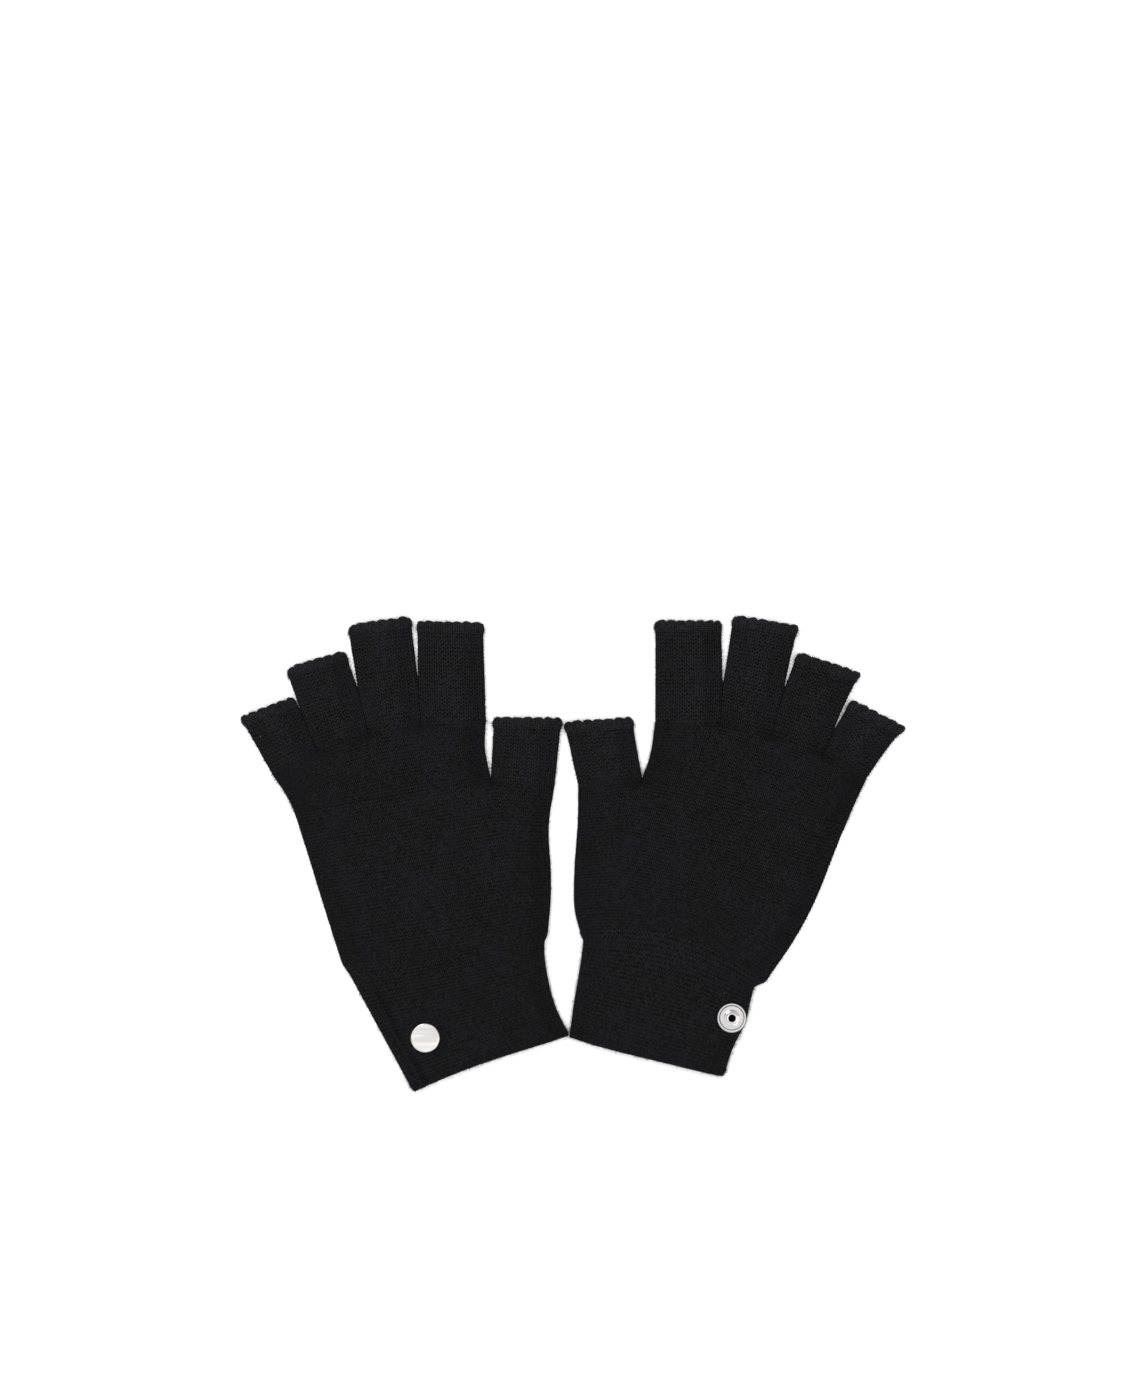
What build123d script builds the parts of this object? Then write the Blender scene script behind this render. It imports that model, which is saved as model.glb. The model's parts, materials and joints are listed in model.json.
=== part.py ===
from build123d import *

import os
from dataclasses import dataclass
from math import cos, radians, sin

# A pair of fingerless knitted gloves, lying flat side by side, thumbs inwards. Millimetres.
# Each glove is a flattened tube of knit: a ribbed cuff, a hand, and a thumb and four finger stalls that are
# open at both ends. One glove carries the cap half of a press snap on its cuff, the other the stud half.
#
# Every glove is drawn in its own plan: the origin is the middle of the wrist seam, x runs towards the thumb
# and y towards the fingers. `Glove.spot` turns a plan point into the pair's frame, where the second glove is
# mirrored. The frame's origin is the centre of the pair's footprint on the table, and +Z is up.

# Knit
WALL = 1.3            # one layer of knit
HAND_THICK = 8.0      # hand, cuff and edgings, both layers and the air between them
STALL_DROP = 0.3      # the stalls are this much thinner than their edgings on each face
EDGE_ROUND = 3.0      # rounding where the flat tube folds along its sides
SEAM_GAP = 0.8        # room between two panels that fold on each other
FORK_GAP = 0.6        # room from a stall's side to the fork between two fingers
EDGING_LENGTH = 4.6   # oversewn band at the open end of a stall
WELT_LENGTH = 3.2     # starting band at the hem of the cuff
MOUTH_MARGIN = 2.0    # how far a cutter for a cavity runs past the solid it opens
WEB = 3.0             # knit left standing between two stall mouths inside the hand

STALL_LOW = STALL_DROP
STALL_HIGH = HAND_THICK - STALL_DROP

# Stalls: root width, tip width and length along the middle, from the thumb side outwards
STALLS = {
    "index": (28.0, 28.2, 42.3),
    "middle": (23.0, 27.2, 45.4),
    "ring": (23.6, 26.4, 35.9),
    "little": (21.8, 24.2, 25.9),
}
THUMB = (27.6, 28.9, 27.0)

# Press snap, a 12.5 mm size with a ring spring. Heights are counted from the top of the cuff.
SHEET = 0.45              # the sheet that every snap piece is drawn from
SNAP_CAP_RADIUS = 6.25
SNAP_CAP_HEIGHT = 1.9
SNAP_CAP_RIM = 1.55       # height of the cap where its crown meets the shoulder
SNAP_CAP_SHOULDER = 0.55  # width and height of the rounding at the cap's edge
SNAP_STUD_FLANGE = 6.35
SNAP_STUD_RIM = 1.0       # height of the stud's rolled rim
SNAP_HEAD_RADIUS = 3.25
SNAP_HEAD_TOP = 2.9
SNAP_HEAD_LENGTH = 1.3    # straight part of the head that a socket slides over
SNAP_HEAD_SHOULDER = 0.45  # height of the rounding above the straight part
SNAP_WAIST = 2.9          # radius of the neck under the head
SNAP_HOLE = 1.8           # hole punched for the shank
SNAP_SHANK = 1.77
SNAP_EYE = 1.5            # bore of the stud's hollow shank
POST_FLANGE = 3.6
POST_LIP = 0.35           # height of the lip rolled over the stud's head
POST_ROLL = 1.0           # width of that lip
STAY_RADIUS = 3.7         # washer that keeps the snap from pulling through the loops
STAY_THICK = 0.4
SOCKET_RADIUS = 5.9
SOCKET_BODY = 5.3         # radius below the socket's flange
SOCKET_DEPTH = 3.2
SOCKET_PLATE = 0.9        # thickness above the bore
SOCKET_BORE = SNAP_HEAD_RADIUS + 0.1
SOCKET_TOP = -WALL - STAY_THICK
SOCKET_FLOOR = SOCKET_TOP - SOCKET_DEPTH
SPRING_WIRE = 0.3         # radius of the spring's wire
SPRING_RING = SOCKET_BORE + 0.25
SPRING_Z = SOCKET_FLOOR + 1.0
SPRING_ARC = 330          # degrees of ring, the rest is its gap
GROOVE_SIDE = 0.4         # half height of the groove that the spring opens in
GROOVE_ROOM = 0.25        # how far the wire can move outwards in it


@dataclass
class Glove:
    """One glove's lay: where it is, how its fingers fan out and how its cuff hangs."""

    name: str
    side: int             # 1 with the thumb at +X, -1 mirrored
    place: tuple          # wrist seam's middle in the pair's frame
    wrist_half: tuple     # thumb end of the wrist seam, mirrored through the origin for the other end
    index_corner: tuple   # where the index stall's outer side leaves the hand
    index_side: tuple     # a point on the hand's edge between thumb and index stalls
    root_tilts: tuple     # tilt of each finger's root line, index to little
    tip_tilts: tuple      # tilt of each finger's open end
    leans: tuple          # lean of each finger away from +y, towards the little finger's side
    thumb_fork: tuple     # fork between thumb and hand
    thumb_root_tilt: float
    thumb_tip_tilt: float
    thumb_lean: float
    thumb_side: list      # hand's edge from the wrist seam to the thumb
    outer_side: list      # hand's edge from the little finger to the wrist seam
    cuff_insets: tuple    # how far the cuff starts inside the two ends of the wrist seam
    cuff_thumb_side: list  # cuff's edge from the wrist seam to the hem
    cuff_outer_side: list
    snap_spot: tuple

    def spot(self, point, z=0.0):
        return Vector(self.place[0] + self.side * point[0], self.place[1] + point[1], z)


LEFT = Glove(
    name="left", side=1, place=(-54.2, -40.37), wrist_half=(44.2, 6.7),
    index_corner=(17.6, 98.0), index_side=(17.2, 85.5),
    root_tilts=(2.0, 8.0, 20.4, 29.5), tip_tilts=(-1.5, 7.3, 15.8, 20.9), leans=(1.9, 8.2, 18.6, 26.8),
    thumb_fork=(19.7, 73.0), thumb_root_tilt=-5.0, thumb_tip_tilt=-1.0, thumb_lean=-4.6,
    thumb_side=[(45.4, 20.0), (45.5, 33.0), (44.6, 52.0)],
    outer_side=[(-66.3, 62.2), (-60.4, 45.0), (-52.2, 18.5)],
    cuff_insets=(1.6, 0.6),
    cuff_thumb_side=[(43.2, -7.5), (46.6, -24.0), (52.0, -37.2)],
    cuff_outer_side=[(-13.6, -62.0)],
    snap_spot=(-8.2, -38.1),
)
RIGHT = Glove(
    name="right", side=-1, place=(43.8, -43.47), wrist_half=(40.2, 10.8),
    index_corner=(7.6, 100.6), index_side=(9.7, 86.5),
    root_tilts=(-1.8, 13.0, 21.0, 33.0), tip_tilts=(0.8, 9.2, 18.4, 27.0), leans=(0.2, 9.9, 20.0, 31.2),
    thumb_fork=(13.3, 76.0), thumb_root_tilt=-6.5, thumb_tip_tilt=-4.0, thumb_lean=-11.2,
    thumb_side=[(42.5, 21.5), (42.3, 38.0), (41.0, 56.8)],
    outer_side=[(-78.2, 65.4), (-70.9, 48.2), (-61.3, 24.1), (-52.2, 6.9)],
    cuff_insets=(2.2, 5.4),
    cuff_thumb_side=[(39.6, -4.0), (42.0, -20.0), (43.4, -34.8)],
    cuff_outer_side=[(-31.6, -24.1), (-22.0, -51.8)],
    snap_spot=(-25.0, -26.4),
)
GLOVES = (LEFT, RIGHT)


# Plan geometry

UP, DOWN = (0.0, 1.0), (0.0, -1.0)


def step(point, along, distance):
    return (point[0] + along[0] * distance, point[1] + along[1] * distance)


def direction(start, end):
    length = ((end[0] - start[0]) ** 2 + (end[1] - start[1]) ** 2) ** 0.5
    return ((end[0] - start[0]) / length, (end[1] - start[1]) / length)


def middle(start, end):
    return ((start[0] + end[0]) / 2, (start[1] + end[1]) / 2)


def across(tilt):
    """Unit plan vector along a root or tip line, from its thumb end outwards."""
    return (-cos(radians(tilt)), -sin(radians(tilt)))


def roots(glove):
    """Thumb-side and outer end of each stall's root line on the hand, in plan."""
    found, corner = {}, glove.index_corner
    for (name, (root, _, _)), tilt in zip(STALLS.items(), glove.root_tilts):
        far = step(corner, across(tilt), root)
        found[name] = (corner, far)
        corner = far
    thumb_far = step(glove.thumb_fork, across(glove.thumb_root_tilt), -THUMB[0])
    found["thumb"] = (thumb_far, glove.thumb_fork)
    return found


def stall_lay(glove, name):
    """(root width, tip width, length, tip tilt, lean) of one stall."""
    if name == "thumb":
        return (*THUMB, glove.thumb_tip_tilt, glove.thumb_lean)
    at = list(STALLS).index(name)
    return (*STALLS[name], glove.tip_tilts[at], glove.leans[at])


def stall_corners(glove, name):
    """Plan corners of a stall: root thumb side, tip thumb side, tip outer side, root outer side."""
    near, far = roots(glove)[name]
    _, tip_width, length, tip_tilt, lean = stall_lay(glove, name)
    root_line = direction(near, far)
    root_middle = middle(near, far)
    tip_middle = step(root_middle, (-sin(radians(lean)), cos(radians(lean))), length)
    tip_line = across(tip_tilt)
    tip_near = step(tip_middle, tip_line, -tip_width / 2)
    tip_far = step(tip_middle, tip_line, tip_width / 2)
    near_side, far_side = direction(near, tip_near), direction(far, tip_far)
    near_inset = step(step(near, root_line, FORK_GAP), near_side, SEAM_GAP / 2)
    far_inset = step(step(far, root_line, -FORK_GAP), far_side, SEAM_GAP / 2)
    return near_inset, tip_near, tip_far, far_inset


# Solids

def curve(glove, points, z):
    """A straight edge through two plan points, or a smooth one through more."""
    spots = [glove.spot(p, z) for p in points]
    return Line(*spots) if len(spots) == 2 else Spline(*spots)


def slab(glove, lines, low, high):
    """A flat solid over the closed plan outline made of these point lists."""
    outline = [curve(glove, points, low) for points in lines]
    return extrude(make_face(outline), amount=high - low, dir=(0, 0, 1))


def folded(glove, solid, sides, low, high, radius):
    """Rounds the top and bottom edges along the given sides, where the tube of knit folds."""
    wanted = [curve(glove, side, z) @ 0.5 for side in sides for z in (low, high)]
    edges = [min(solid.edges(), key=lambda e, w=w: (e @ 0.5 - w).length) for w in wanted]
    return fillet(edges, radius)


def inset(points, distance):
    """The same side moved inwards: distance is positive to the left of the way the points run."""
    moved = []
    for at, point in enumerate(points):
        before, after = points[max(at - 1, 0)], points[min(at + 1, len(points) - 1)]
        along = direction(before, after)
        moved.append(step(point, (-along[1], along[0]), distance))
    return moved


def widened(near, far, distance):
    """Two facing sides moved apart along the lines that join their points."""
    moved_near, moved_far = [], []
    for a, b in zip(near, far):
        along = direction(a, b)
        moved_near.append(step(a, along, -distance))
        moved_far.append(step(b, along, distance))
    return moved_near, moved_far


def stretched(points, distance):
    """The same side made longer at both ends."""
    first = step(points[0], direction(points[1], points[0]), distance)
    last = step(points[-1], direction(points[-2], points[-1]), distance)
    return [first, *points, last] if len(points) > 2 else [first, last]


def tube(glove, thumb_side, outer_side, low, high, wall):
    """A flat open tube of knit between two sides that both run from one open end to the other."""
    ends = [[thumb_side[-1], outer_side[-1]], [outer_side[0], thumb_side[0]]]
    body = slab(glove, [thumb_side, ends[0], outer_side, ends[1]], low, high)
    body = folded(glove, body, [thumb_side, outer_side], low, high, EDGE_ROUND)
    # A plan that runs towards -y has its inside on the other hand.
    turn = 1 if thumb_side[-1][1] > thumb_side[0][1] else -1
    inner_thumb = stretched(inset(thumb_side, turn * wall), MOUTH_MARGIN)
    inner_outer = stretched(inset(outer_side, -turn * wall), MOUTH_MARGIN)
    inner_ends = [[inner_thumb[-1], inner_outer[-1]], [inner_outer[0], inner_thumb[0]]]
    cavity = slab(glove, [inner_thumb, inner_ends[0], inner_outer, inner_ends[1]], low + wall, high - wall)
    return body - cavity


def split_stall(glove, name):
    """Plan sides of a stall's knit and of the edging at its open end."""
    near_root, near_tip, far_tip, far_root = stall_corners(glove, name)
    near_seam = step(near_tip, direction(near_tip, near_root), EDGING_LENGTH)
    far_seam = step(far_tip, direction(far_tip, far_root), EDGING_LENGTH)
    knit = [near_root, near_seam], [far_root, far_seam]
    edging = [near_seam, near_tip], [far_seam, far_tip]
    return knit, edging


def stall(glove, name):
    (near, far), _ = split_stall(glove, name)
    return tube(glove, near, far, STALL_LOW, STALL_HIGH, WALL)


def edging(glove, name):
    """Oversewn band: a little proud of the stall all round, with the same way through."""
    _, (near, far) = split_stall(glove, name)
    near, far = widened(near, far, STALL_DROP)
    return tube(glove, near, far, 0.0, HAND_THICK, WALL + STALL_DROP)


def wrist(glove):
    """Thumb end and outer end of the wrist seam."""
    x, y = glove.wrist_half
    return (x, y), (-x, -y)


def hand(glove):
    """The palm and back: a flat shell with mouths for the cuff, the thumb and four fingers."""
    ends = roots(glove)
    back_off = SEAM_GAP / 2
    thumb_end, outer_end = wrist(glove)
    wrist_thumb, wrist_outer = step(thumb_end, UP, back_off), step(outer_end, UP, back_off)

    def lowered(point, tilt):
        normal = (sin(radians(tilt)), -cos(radians(tilt)))
        return step(point, normal, back_off)

    tilts = dict(zip(STALLS, glove.root_tilts))
    thumb_near = lowered(ends["thumb"][0], glove.thumb_root_tilt)
    thumb_fork = lowered(ends["thumb"][1], glove.thumb_root_tilt)
    knuckles = [lowered(ends["index"][0], tilts["index"])]
    for name, tilt in tilts.items():
        knuckles.append(lowered(ends[name][1], tilt))
    thumb_side = [wrist_thumb, *glove.thumb_side, thumb_near]
    index_side = [thumb_fork, glove.index_side, knuckles[0]]
    outer_side = [knuckles[-1], *glove.outer_side, wrist_outer]
    finger_lines = [[knuckles[at], knuckles[at + 1]] for at in range(len(STALLS))]
    outline = [thumb_side, [thumb_near, thumb_fork], index_side, *finger_lines, outer_side,
               [wrist_outer, wrist_thumb]]
    body = slab(glove, outline, 0.0, HAND_THICK)
    body = folded(glove, body, [thumb_side, index_side, outer_side], 0.0, HAND_THICK, EDGE_ROUND)

    # The hollow stops short of the finger line, so that webs of knit stand between the mouths.
    low, high = WALL, HAND_THICK - WALL
    inner_thumb, inner_index = inset(thumb_side, WALL), inset(index_side, WALL)
    inner_outer = inset(outer_side, WALL)
    inner_thumb[-1] = step(inner_thumb[-1], direction(inner_thumb[-1], inner_thumb[-2]), WEB)
    inner_index[-1] = step(inner_index[-1], direction(inner_index[-1], inner_index[-2]), WEB)
    inner_outer[0] = step(inner_outer[0], direction(inner_outer[0], inner_outer[1]), WEB)
    between = [step(p, DOWN, WEB) for p in knuckles[1:-1]]
    webbed = [inner_index[-1], *between, inner_outer[0]]
    inner_wrist = [step(inner_outer[-1], DOWN, MOUTH_MARGIN), step(inner_thumb[0], DOWN, MOUTH_MARGIN)]
    thumb_web = step(inner_index[0], DOWN, WEB)
    hollow_lines = [inner_thumb, [inner_thumb[-1], thumb_web], [thumb_web, inner_index[0]], inner_index,
                    *[[webbed[at], webbed[at + 1]] for at in range(len(STALLS))], inner_outer,
                    [inner_outer[-1], inner_wrist[0]], inner_wrist, [inner_wrist[1], inner_thumb[0]]]
    body -= slab(glove, hollow_lines, low, high)
    for name in ends:
        body -= mouth(glove, name, low, high)
    return body


def mouth(glove, name, low, high):
    """Cutter for the way from the hand into a stall."""
    near, far = roots(glove)[name]
    root_line = direction(near, far)
    out = (root_line[1], -root_line[0])
    side = FORK_GAP + WALL
    a, b = step(near, root_line, side), step(far, root_line, -side)
    deep = 2 * WEB
    near_corners = [step(a, out, -deep), step(a, out, MOUTH_MARGIN)]
    far_corners = [step(b, out, MOUTH_MARGIN), step(b, out, -deep)]
    corners = near_corners + far_corners
    lines = [[corners[at - 1], corners[at]] for at in range(len(corners))]
    return slab(glove, lines, low, high)


def cuff_sides(glove):
    """Plan sides of the ribbed cuff and of its welt, from the wrist seam down to the hem."""
    thumb_end, outer_end = wrist(glove)
    seam = direction(thumb_end, outer_end)
    thumb_start = step(step(thumb_end, seam, glove.cuff_insets[0]), DOWN, SEAM_GAP / 2)
    outer_start = step(step(outer_end, seam, -glove.cuff_insets[1]), DOWN, SEAM_GAP / 2)
    thumb = [thumb_start, *glove.cuff_thumb_side]
    outer = [outer_start, *glove.cuff_outer_side]
    thumb_seam = step(thumb[-1], direction(thumb[-1], thumb[-2]), WELT_LENGTH)
    outer_seam = step(outer[-1], direction(outer[-1], outer[-2]), WELT_LENGTH)
    rib = [*thumb[:-1], thumb_seam], [*outer[:-1], outer_seam]
    welt = [thumb_seam, thumb[-1]], [outer_seam, outer[-1]]
    return rib, welt


def cuff(glove):
    (thumb, outer), _ = cuff_sides(glove)
    body = tube(glove, thumb, outer, 0.0, HAND_THICK, WALL)
    spot = glove.spot(glove.snap_spot, HAND_THICK - WALL / 2)
    return body - Location(spot) * Cylinder(SNAP_HOLE, 2 * WALL)


def welt(glove):
    _, (thumb, outer) = cuff_sides(glove)
    return tube(glove, thumb, outer, 0.0, HAND_THICK, WALL)


# Press snap. Every piece is turned about the snap's own axis, with z counted from the top of the cuff.

def placed(glove, face):
    """The outline turned about the snap's axis, on the glove's snap."""
    return Location(glove.spot(glove.snap_spot, HAND_THICK)) * revolve(face, Axis.Z)


def turned(glove, profile):
    """A solid of revolution from a closed (radius, height) outline, placed on the glove's snap."""
    points = [(r, 0, z) for r, z in profile]
    return placed(glove, make_face(Polyline(*points, close=True)))


def snap_cap(glove):
    """Crowned button on the outside, with the hollow shank that rivets it to the socket."""
    edge, rim = SNAP_CAP_SHOULDER, SNAP_CAP_RIM
    flare_top = SOCKET_TOP - SOCKET_PLATE
    flare_end = flare_top - SHEET
    bore_top = SNAP_CAP_SHOULDER
    crown = ThreePointArc((0, 0, SNAP_CAP_HEIGHT), (0.55 * SNAP_CAP_RADIUS, 0, SNAP_CAP_HEIGHT - 0.1),
                          (SNAP_CAP_RADIUS - edge, 0, rim))
    shoulder = ThreePointArc((SNAP_CAP_RADIUS - edge, 0, rim), (SNAP_CAP_RADIUS - 0.15, 0, rim - 0.2),
                             (SNAP_CAP_RADIUS, 0, rim - edge))
    under = [(SNAP_CAP_RADIUS, rim - edge), (SNAP_CAP_RADIUS, 0), (SNAP_SHANK, 0),
             (SNAP_SHANK, flare_top), (SNAP_SHANK + edge, flare_top), (SNAP_SHANK + edge, flare_end),
             (SNAP_SHANK - SHEET, flare_end), (SNAP_SHANK - SHEET, bore_top), (0, bore_top),
             (0, SNAP_CAP_HEIGHT)]
    return placed(glove, make_face([crown, shoulder, Polyline(*[(r, 0, z) for r, z in under])]))


def snap_socket(glove):
    """Female half inside the cuff. Its bore faces down, with a groove for the ring spring."""
    groove = SPRING_RING + SPRING_WIRE + GROOVE_ROOM
    plate = SOCKET_TOP - SOCKET_PLATE
    profile = [(SNAP_HOLE, SOCKET_TOP), (SOCKET_RADIUS, SOCKET_TOP), (SOCKET_RADIUS, SOCKET_TOP - SHEET),
               (SOCKET_BODY, plate), (SOCKET_BODY, SOCKET_FLOOR + SHEET),
               (SOCKET_BODY - SHEET, SOCKET_FLOOR), (SOCKET_BORE, SOCKET_FLOOR),
               (SOCKET_BORE, SPRING_Z - GROOVE_SIDE), (groove, SPRING_Z - GROOVE_SIDE),
               (groove, SPRING_Z + GROOVE_SIDE), (SOCKET_BORE, SPRING_Z + GROOVE_SIDE),
               (SOCKET_BORE, plate), (SNAP_HOLE, plate)]
    return turned(glove, profile)


def snap_spring(glove):
    """Split ring of wire that grips behind the stud's head."""
    section = Plane(origin=(SPRING_RING, 0, SPRING_Z), z_dir=(0, 1, 0)) * Circle(SPRING_WIRE)
    ring = revolve(section, Axis.Z, revolution_arc=SPRING_ARC)
    return Location(glove.spot(glove.snap_spot, HAND_THICK)) * ring


def snap_stay(glove):
    """Washer between the knit and the snap's inner piece."""
    profile = [(SNAP_HOLE, -WALL), (STAY_RADIUS, -WALL), (STAY_RADIUS, SOCKET_TOP), (SNAP_HOLE, SOCKET_TOP)]
    return turned(glove, profile)


def snap_stud(glove):
    """Male half on the outside: a dished flange with a rolled rim, a waist and a round head."""
    shoulder = SNAP_HEAD_TOP - SNAP_HEAD_SHOULDER
    straight = shoulder - SNAP_HEAD_LENGTH
    rim_out, rim_in = SNAP_STUD_FLANGE - 0.3, SNAP_STUD_FLANGE - 0.85
    dish_out, dish_in = rim_in - 0.5, SNAP_WAIST + 0.5
    profile = [(SNAP_HOLE, 0), (SNAP_STUD_FLANGE, 0), (SNAP_STUD_FLANGE, SNAP_STUD_RIM - 0.25),
               (rim_out, SNAP_STUD_RIM), (rim_in, SNAP_STUD_RIM), (dish_out, SHEET + 0.05), (dish_in, SHEET),
               (SNAP_WAIST, SHEET + 0.25), (SNAP_WAIST, straight - 0.25), (SNAP_HEAD_RADIUS, straight),
               (SNAP_HEAD_RADIUS, shoulder), (SNAP_HEAD_RADIUS - 0.15, SNAP_HEAD_TOP - 0.15),
               (SNAP_HEAD_RADIUS - 0.5, SNAP_HEAD_TOP), (SNAP_EYE + POST_ROLL, SNAP_HEAD_TOP),
               (SNAP_HOLE, SNAP_HEAD_TOP - POST_LIP)]
    return turned(glove, profile)


def snap_post(glove):
    """Hollow rivet that holds the stud: a flange inside the cuff and a rolled lip round the eye."""
    end = SOCKET_TOP - 0.5
    foot = SNAP_HEAD_TOP - POST_LIP - 0.01
    roll_side = SNAP_HEAD_TOP + 0.7 * POST_LIP
    roll = [(SNAP_EYE + POST_ROLL - 0.02, SNAP_HEAD_TOP + 0.02), (SNAP_EYE + 0.85 * POST_ROLL, roll_side),
            (SNAP_EYE + 0.5 * POST_ROLL, SNAP_HEAD_TOP + POST_LIP), (SNAP_EYE + 0.15 * POST_ROLL, roll_side)]
    profile = [(SNAP_EYE, end), (POST_FLANGE, end), (POST_FLANGE, SOCKET_TOP), (SNAP_SHANK, SOCKET_TOP),
               (SNAP_SHANK, foot), *roll, (SNAP_EYE, SNAP_HEAD_TOP)]
    return turned(glove, profile)


def pieces():
    """Every piece by node name."""
    made = {}
    for glove in GLOVES:
        made[f"{glove.name}_hand"] = hand(glove)
        made[f"{glove.name}_cuff"] = cuff(glove)
        made[f"{glove.name}_cuff_welt"] = welt(glove)
        for name in ("thumb", *STALLS):
            made[f"{glove.name}_{name}_stall"] = stall(glove, name)
            made[f"{glove.name}_{name}_edging"] = edging(glove, name)
        made[f"{glove.name}_snap_stay"] = snap_stay(glove)
    made["snap_cap"] = snap_cap(LEFT)
    made["snap_socket"] = snap_socket(LEFT)
    made["snap_spring"] = snap_spring(LEFT)
    made["snap_stud"] = snap_stud(RIGHT)
    made["snap_post"] = snap_post(RIGHT)
    return made


def main():
    os.makedirs("parts", exist_ok=True)
    made = pieces()
    for node, solid in made.items():
        export_step(solid, f"parts/{node}.step")
    box = Compound(children=[s for p in made.values() for s in p.solids()]).bounding_box()
    print("pair", box.min, box.max, "centre", box.center())


if __name__ == "__main__":
    main()
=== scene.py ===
# %% [markdown]
# # A pair of fingerless knit gloves
# The gloves lie flat, fingers up and thumbs inwards. Each one is a set of knitted tubes: a ribbed cuff, a
# hand, and five short stalls that end in an oversewn edge. A press snap buttons the two cuffs together. The
# frame below brings in the rigid model of the same pair, which settles every size. Here the plain solids of
# the knit give way to real stitches, and the snap keeps its solids and gets its metal.

# %% Load the frame
import json
from dataclasses import dataclass
from math import cos, pi, radians, sin

import bpy
import numpy as np
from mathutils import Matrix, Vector


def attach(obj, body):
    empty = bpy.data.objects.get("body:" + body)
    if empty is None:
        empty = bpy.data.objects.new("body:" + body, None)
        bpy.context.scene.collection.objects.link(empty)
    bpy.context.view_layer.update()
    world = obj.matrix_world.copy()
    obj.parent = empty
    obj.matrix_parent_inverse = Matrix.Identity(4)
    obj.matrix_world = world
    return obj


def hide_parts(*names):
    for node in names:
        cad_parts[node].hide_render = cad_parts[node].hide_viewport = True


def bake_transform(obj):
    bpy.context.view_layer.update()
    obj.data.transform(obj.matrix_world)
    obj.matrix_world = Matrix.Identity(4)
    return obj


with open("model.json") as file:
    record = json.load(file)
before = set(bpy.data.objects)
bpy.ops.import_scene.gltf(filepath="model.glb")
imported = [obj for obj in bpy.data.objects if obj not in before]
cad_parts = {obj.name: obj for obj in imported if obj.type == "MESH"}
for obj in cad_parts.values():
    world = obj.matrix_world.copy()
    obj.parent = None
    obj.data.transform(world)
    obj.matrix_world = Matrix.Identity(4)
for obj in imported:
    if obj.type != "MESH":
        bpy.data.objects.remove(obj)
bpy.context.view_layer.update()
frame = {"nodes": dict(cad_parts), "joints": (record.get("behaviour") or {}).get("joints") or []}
joints = {joint["name"]: joint for joint in frame["joints"]}

# %% [markdown]
# ## The lay of the two gloves
# A knitter thinks in wales, the columns of stitches that run up the hand, and courses, the rows across it.
# So each glove is drawn in its own plan, in millimetres, from the middle of its wrist seam: x runs towards
# the thumb and y towards the fingers. The numbers are the rigid model's own driving ones, with three soft
# changes. The inner corners of the cuffs splay a little further, the second cuff's edge bulges round the
# stud, and some of the second glove's stalls lean out at their tips. That glove is the mirror image of its
# plan, and the two are a little different, as gloves laid down by hand are.

# %% Driving sizes of the knit
MM = 0.001
FLOOR_GAP = 0.05       # the lower layer lies on the table
FOLD_HALF = 1.5        # half the thickness along the folded sides of a tube
HALF = 3.4             # half the thickness in the middle of a tube, a little open
SNAP_HALF = 3.93       # half the thickness under the snap, which holds the cuff up
PROUD = 0.18           # how far an oversewn edge stands out on each face
RISE = 9.0             # a tube rises to its full thickness over this way from its fold
LAYER = 1.15           # one layer of knit
EDGING = 4.6           # length of the oversewn edge
WELT = 3.2             # length of the starting edge at the hem

STALLS = {             # root width, tip width, length, wales on one face
    "index": (28.0, 28.2, 42.3, 15),
    "middle": (23.0, 27.2, 45.4, 13),
    "ring": (23.6, 26.4, 35.9, 13),
    "little": (21.8, 24.2, 25.9, 12),
}
THUMB = (27.6, 28.9, 27.0, 14)
FINGERS = ("little", "ring", "middle", "index")   # in the order that a course meets them


@dataclass
class Glove:
    """How one glove lies, in millimetres and degrees."""

    name: str
    side: int
    place: tuple
    wrist_half: tuple
    index_corner: tuple
    index_side: tuple
    root_tilts: tuple
    tip_tilts: tuple
    leans: tuple
    thumb_fork: tuple
    thumb_root_tilt: float
    thumb_tip_tilt: float
    thumb_lean: float
    thumb_side: list
    outer_side: list
    cuff_insets: tuple
    cuff_thumb_side: list
    cuff_outer_side: list
    snap_spot: tuple
    wrist_bow: float
    hem_bow: float
    hem_peak: float        # where along the hem its bow is greatest, from the outer side
    palm_crease: float     # depth of the crease beside the hand's outer edge
    cuff_crease: float     # depth of the crease beside the cuff's outer edge
    touches: tuple         # how far from their fork two neighbouring stalls lie together, from the index on
    rounding: dict         # radius of the outer corner of each open end
    splay: dict            # how far the outer side of some stalls leans out towards that corner
    seed: int


LEFT = Glove(
    name="left", side=1, place=(-54.2, -40.37), wrist_half=(44.2, 6.7),
    index_corner=(17.6, 98.0), index_side=(17.2, 85.5),
    root_tilts=(2.0, 8.0, 20.4, 29.5), tip_tilts=(-1.5, 7.3, 15.8, 20.9), leans=(1.9, 8.2, 18.6, 26.8),
    thumb_fork=(19.7, 73.0), thumb_root_tilt=-5.0, thumb_tip_tilt=-1.0, thumb_lean=-4.6,
    thumb_side=[(45.4, 20.0), (45.5, 33.0), (44.6, 52.0)],
    outer_side=[(-66.3, 62.2), (-60.4, 45.0), (-52.2, 18.5)],
    cuff_insets=(1.6, 0.6), cuff_thumb_side=[(43.4, -7.5), (47.2, -24.0), (53.4, -37.2)],
    cuff_outer_side=[(-13.6, -62.0)], snap_spot=(-8.2, -38.1),
    wrist_bow=-1.2, hem_bow=1.9, hem_peak=0.38, palm_crease=0.7, cuff_crease=0.9, seed=3,
    touches=(17.0, 17.0, 17.0), splay={},
    rounding={"index": 1.8, "middle": 5.6, "ring": 5.2, "little": 2.2, "thumb": 2.4},
)
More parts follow.
